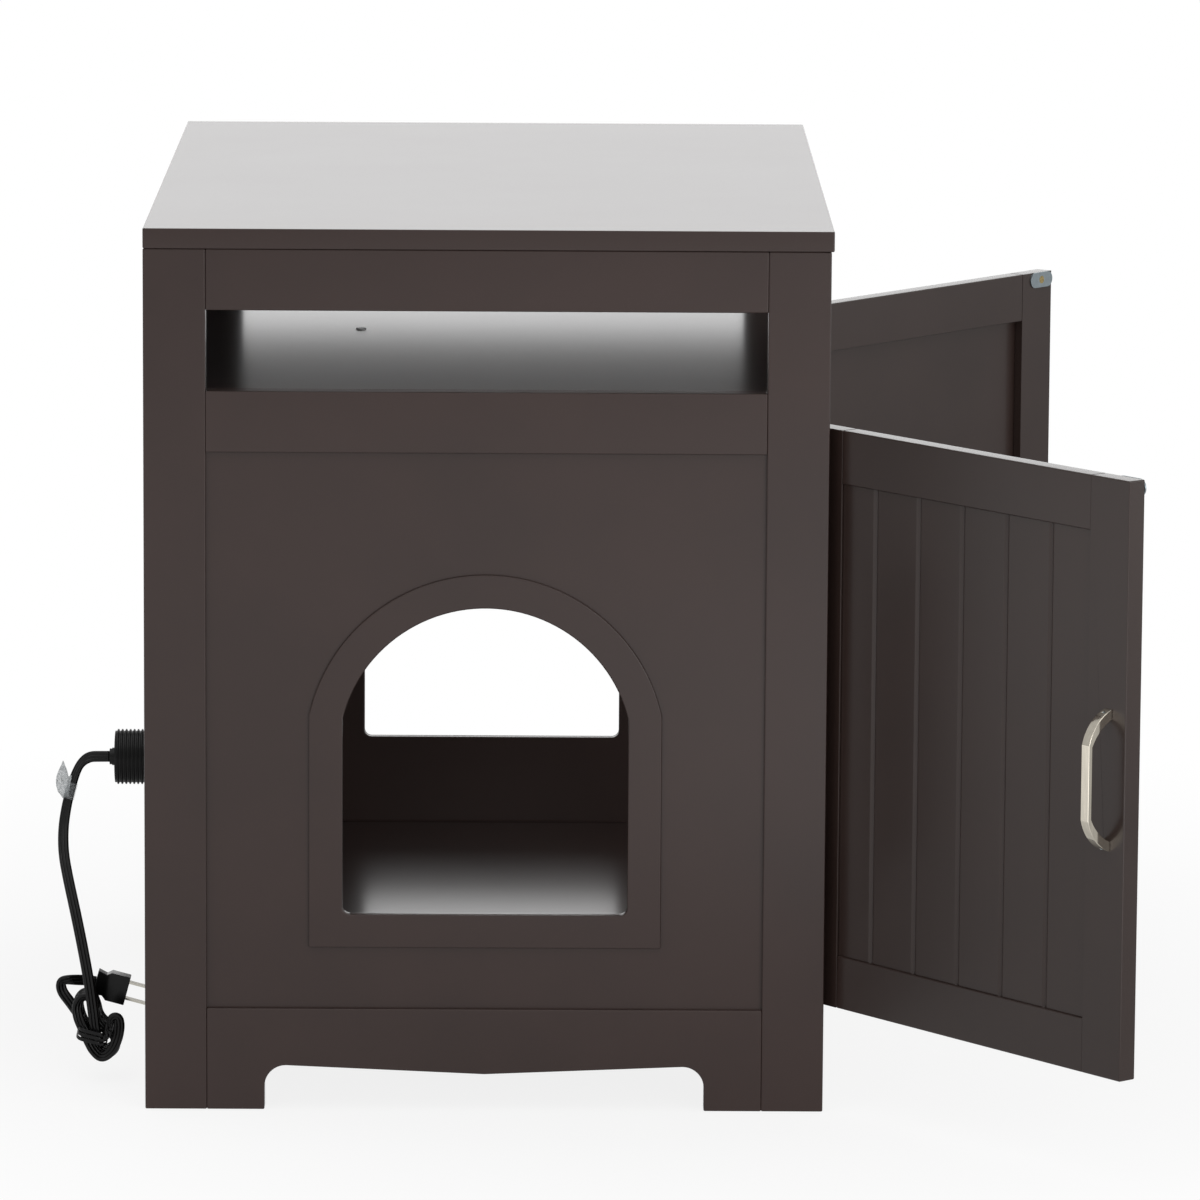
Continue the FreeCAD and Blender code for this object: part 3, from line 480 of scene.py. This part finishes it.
def cord_points():
    """The whole cord's control points and the turn of its broad side at each."""
    points = [(Vector(place), face) for *place, face in stretch_route]
    turns = [(point, 0) for point in first_lower]
    for turn in range(hank_turns):
        last = turn == hank_turns - 1
        if turn:
            turns += [(point, turn) for point in lower_lobe]
        turns += [(point, turn) for point in (outer_lobe if last else upper_lobe)]
    for (right, above, layer, face), turn in turns:
        points.append((in_waist_plane(right, above, turn + layer), face))
    points.append((in_waist_plane(*plug_rear), 0))
    return points


def flat_section():
    """Half width and half thickness offsets round a flat cord of joined cores."""
    radius = cord_thickness / 2
    pitch = (cord_width - cord_thickness) / (cord_cores - 1)
    crest = math.pi / 2 - math.acos(pitch / 2 / radius)
    upper = []
    for core in range(cord_cores):
        centre = (core - (cord_cores - 1) / 2) * pitch
        low = math.pi if core == 0 else math.pi / 2 + crest
        high = 0.0 if core == cord_cores - 1 else math.pi / 2 - crest
        for i in range(core_steps):
            turn = low + (high - low) * i / (core_steps - 1)
            upper.append((centre + radius * math.cos(turn), radius * math.sin(turn)))
    return upper + [(-across, -through) for across, through in upper[1:-1]]


def swept(name, line, section, across_at):
    """A mesh along a line; each ring is the section, its width along across_at(i, ahead)."""
    shape = bmesh.new()
    rings = []
    for i, point in enumerate(line):
        ahead = line[min(i + 1, len(line) - 1)] - line[max(i - 1, 0)]
        ahead.normalize()
        across = across_at(i, ahead)
        across = (across - ahead * across.dot(ahead)).normalized()
        through = ahead.cross(across)
        rings.append([shape.verts.new(point + across * a + through * b) for a, b in section])
    for ring, following in zip(rings, rings[1:]):
        for k in range(len(ring)):
            j = (k + 1) % len(ring)
            shape.faces.new((ring[k], ring[j], following[j], following[k]))
    shape.faces.new(list(reversed(rings[0])))
    shape.faces.new(rings[-1])
    bmesh.ops.recalc_face_normals(shape, faces=shape.faces)
    return mesh_object(name, shape)


def mesh_object(name, shape):
    """A new smooth-shaded object from a bmesh, which is freed."""
    mesh = bpy.data.meshes.new(name)
    shape.to_mesh(mesh)
    shape.free()
    for face in mesh.polygons:
        face.use_smooth = True
    obj = bpy.data.objects.new(name, mesh)
    scene.collection.objects.link(obj)
    return obj


def finish_piece(obj, material, *replaced):
    """Give a piece its material and its body, and hide the nodes it stands for."""
    obj.data.materials.append(materials[material])
    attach(obj, "cabinet")
    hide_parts(*replaced)
    return obj


def cord_line():
    """Points along the cord's spline, and the width direction there."""
    points = cord_points()
    line = followed("cord_route", [place for place, _ in points])
    turned = followed("cord_faces", [Vector((face, 0, 0)) for _, face in points])

    def across_at(i, ahead):
        return Matrix.Rotation(math.radians(turned[i].x), 3, ahead) @ ahead.cross(FRONT)

    return line, across_at


def make_cord(line, across_at):
    """The flat cord along its line, in place of the cord's stretch and hank nodes."""
    cord = swept("power_cord", line, flat_section(), across_at)
    finish_piece(cord, "cord_black", "cord_stretch", "cord_hank")


def squared(value, power):
    """A sine or cosine brought nearer to 1 by a power below 1, with its sign kept."""
    return math.copysign(abs(value) ** power, value)


def oval_section(width, thickness, count=16):
    """A flat oval, width across and thickness through."""
    turns = [2 * math.pi * i / count for i in range(count)]
    return [
        (width / 2 * squared(math.cos(turn), oval_power), thickness / 2 * math.sin(turn))
        for turn in turns
    ]


def make_band():
    """The flat tie's wraps round all the strands at the hank's waist."""
    lean = math.radians(tie_angle)
    along = Vector((math.cos(lean), 0, math.sin(lean)))
    aside = Vector((-math.sin(lean), 0, math.cos(lean)))
    back = (hank_turns - 1) * hank_step / mm - tie_front
    half_depth = (back - tie_front) / 2
    middle = in_waist_plane(*tie_middle, 0) + Vector((0, mm * (back + tie_front) / 2, 0))
    line = []
    for i in range(tie_wraps * tie_steps + 1):
        turn = 2 * math.pi * i / tie_steps
        out = mm * tie_half_length * squared(math.cos(turn), wrap_power)
        depth = mm * half_depth * squared(math.sin(turn), wrap_power)
        drift = mm * tie_pitch * (i / tie_steps - tie_wraps / 2)
        line.append(middle + along * out - Vector((0, depth, 0)) + aside * drift)
    band = swept("tie_band", line, oval_section(tie_width, tie_thickness), lambda i, ahead: aside)
    return finish_piece(band, "tie_black", "twist_tie")


def make_tail(name, places):
    """One free end of the tie, twisted along its length."""

    def across_at(i, ahead):
        return Matrix.Rotation(i * tail_twist, 3, ahead) @ ahead.orthogonal()

    route = []
    for right, above, behind in places:
        route.append(in_waist_plane(right, above, 0) + Vector((0, mm * behind, 0)))
    line = followed("tail_route", route)
    tail = swept(name, line, oval_section(tail_width, tail_thickness), across_at)
    return finish_piece(tail, "tie_black", "twist_tie")


def make_tie():
    """The tie's wraps and its two free ends."""
    band = make_band()
    tails = [make_tail(f"tie_tail_{number}", places) for number, places in enumerate(tie_tails)]
    return [band] + tails


def crumple(x, z):
    """How far the film stands out of its plane at a place, all in millimetres."""
    return 0.5 * math.sin(1.1 * x + 0.7 * z) + 0.4 * math.sin(0.5 * x - 1.3 * z)


def make_sleeve(line, across_at):
    """The film where it's wrapped round the cord."""
    wrapped = [i for i, point in enumerate(line) if tag_low < point.z < tag_high]
    first = wrapped[0]
    return swept(
        "tag_sleeve",
        [line[i] for i in wrapped],
        oval_section(cord_width + tag_added, cord_thickness + tag_added, 20),
        lambda i, ahead: across_at(first + i, ahead),
    )


def make_flap():
    """The film's crumpled free end."""
    shape = bmesh.new()
    shape.faces.new([shape.verts.new((x, tag_front, z)) for x, z in tag_outline])
    bmesh.ops.triangulate(shape, faces=shape.faces)
    bmesh.ops.subdivide_edges(shape, edges=shape.edges, cuts=5, use_grid_fill=True)
    for vert in shape.verts:
        vert.co.y += mm * crumple(vert.co.x / mm, vert.co.z / mm)
    flap = mesh_object("tag_flap", shape)
    thick = flap.modifiers.new("film", "SOLIDIFY")
    thick.thickness = film_thickness
    return flap


def make_tag(line, across_at):
    """Blank clear film wrapped round the cord; it lets more of the cord through where it's wrapped."""
    sleeve = make_sleeve(line, across_at)
    flap = make_flap()
    for piece in (sleeve, flap):
        finish_piece(piece, "clear_film", "cord_tag")
    sleeve.data.materials[0] = materials["film_wrap"]
    return [sleeve, flap]


# ---------------------------------------------------------------- stage
def make_camera():
    """The photograph's camera."""
    data = bpy.data.cameras.new("camera")
    data.sensor_width = camera_sensor
    data.lens = camera_lens
    data.clip_end = camera_reach
    camera = bpy.data.objects.new("camera", data)
    scene.collection.objects.link(camera)
    turn = (
        Matrix.Rotation(math.radians(-camera_yaw), 4, "Z")
        @ Matrix.Rotation(math.radians(90.0 - camera_pitch), 4, "X")
        @ Matrix.Rotation(math.radians(camera_roll), 4, "Z")
    )
    camera.matrix_world = Matrix.Translation(camera_place) @ turn
    scene.camera = camera


def area_lamp(name, place, target, width, height, radiance):
    """A soft box at a place, facing a target, with a surface radiance."""
    data = bpy.data.lights.new(name, "AREA")
    data.shape = "RECTANGLE"
    data.size = width
    data.size_y = height
    data.energy = radiance * math.pi * width * height
    lamp = bpy.data.objects.new(name, data)
    lamp.location = place
    lamp.rotation_euler = (Vector(target) - Vector(place)).to_track_quat("-Z", "Y").to_euler()
    lamp.visible_camera = False
    scene.collection.objects.link(lamp)


def make_lamps():
    """Pale walls behind and to the right, a ceiling, and two soft boxes in front."""
    area_lamp("back_wall", (0.0, 5.5, 1.3), (0.0, 0.0, 0.5), 10.0, 3.4, 0.50)
    area_lamp("back_low", (0.0, 5.4, 0.6), (0.0, 0.0, 0.5), 9.0, 0.7, 0.55)
    area_lamp("back_high", (1.5, 5.4, 2.35), (1.0, 0.0, 1.5), 7.0, 1.9, 0.22)
    area_lamp("ceiling", (0.0, -0.8, 4.2), (0.0, 0.0, 0.3), 5.0, 5.0, 0.74)
    area_lamp("front_left", (-3.2, -4.5, 2.6), (0.0, 0.0, 0.35), 2.4, 2.4, 0.6)
    area_lamp("front_right", (2.4, -4.6, 1.0), (0.2, 0.0, 0.35), 3.0, 1.8, 2.8)
    area_lamp("right_wall", (4.2, -0.6, 0.9), (0.3, 0.0, 0.3), 2.6, 1.5, 1.6)


def make_world():
    """White for the camera, a plain grey light for everything else."""
    world = bpy.data.worlds.new("studio")
    scene.world = world
    world.use_nodes = True
    tree = world.node_tree
    background = tree.nodes["Background"]
    paths = tree.nodes.new("ShaderNodeLightPath")
    strength = tree.nodes.new("ShaderNodeMapRange")
    strength.inputs["To Min"].default_value = room_light
    strength.inputs["To Max"].default_value = 1.0
    tree.links.new(paths.outputs["Is Camera Ray"], strength.inputs["Value"])
    tree.links.new(strength.outputs["Result"], background.inputs["Strength"])
    background.inputs["Color"].default_value = WHITE


def floor_glow_and_painted_reflection(m, camera_ray, glossy_ray, distance):
    """White light for the camera, and for glossy rays only a painted highlight patch, a painted shade
    patch and a fall far off, which the paint shows as painted reflections.
    """
    # Painted reflection: the floor glows in these patches only for glossy rays, putting a painted
    # highlight and painted shade into the paint's gloss.
    lit = m.band(m.distance_from(painted_highlight_middle), 0.1, 1.3, 2.5, 0.3)
    dim = m.band(m.distance_from(painted_shade_middle), 1.0, 4.0, 0.15, 0.95)
    fall = m.band(distance, 3.6, 6.0, 1.0, 0.35)
    painted_reflection = m.maths("MULTIPLY", m.maths("MAXIMUM", lit, dim), fall)
    glow = m.add("ShaderNodeEmission")
    glow.inputs["Color"].default_value = WHITE
    strength = m.maths("MAXIMUM", m.maths("MULTIPLY", painted_reflection, glossy_ray), camera_ray)
    m.link(strength, glow.inputs["Strength"])
    return glow.outputs[0]


def floor_material():
    """Mostly glow to the camera, whole glow in the paint's gloss as a painted reflection, and plain grey
    for other light.
    """
    m = Nodes("floor")
    paths = m.add("ShaderNodeLightPath")
    camera_ray = paths.outputs["Is Camera Ray"]
    glossy_ray = paths.outputs["Is Glossy Ray"]
    bounce = tinted(WHITE, floor_bounce)
    shown = tinted(WHITE, floor_shown)
    m.feed(m.mix(camera_ray, bounce, shown), "Base Color")
    m.set(Roughness=0.7, Specular_IOR_Level=0.2)
    distance = m.distance_from((0.0, 0.0, 0.0))
    seen = m.maths("MULTIPLY", m.band(distance, 0.45, 1.2, 0.85, 1.0), camera_ray)
    blend = m.add("ShaderNodeMixShader")
    m.link(m.maths("MAXIMUM", seen, glossy_ray), blend.inputs[0])
    m.link(m.shader.outputs[0], blend.inputs[1])
    m.link(floor_glow_and_painted_reflection(m, camera_ray, glossy_ray, distance), blend.inputs[2])
    m.link(blend.outputs[0], m.tree.nodes["Material Output"].inputs["Surface"])
    return m.material


def make_floor():
    """A pale floor that fades to plain white away from the object, and keeps its shadow."""
    shape = bmesh.new()
    bmesh.ops.create_grid(shape, x_segments=2, y_segments=2, size=floor_half)
    floor = mesh_object("floor", shape)
    floor.location.z = -floor_drop
    floor.data.materials.append(floor_material())


# ---------------------------------------------------------------- build
dress_nodes()
soften(painted_nodes(), board_edge_round)
soften(("left_door_handle", "right_door_handle", "plug_body"), fitting_edge_round)
make_camera()
line, across_at = cord_line()
on_cord = [nodes["plug_body"], nodes["plug_blades"]] + make_tie() + make_tag(line, across_at)
make_cord(line, across_at)
make_lamps()
make_world()
make_floor()
scene.view_settings.view_transform = "Standard"
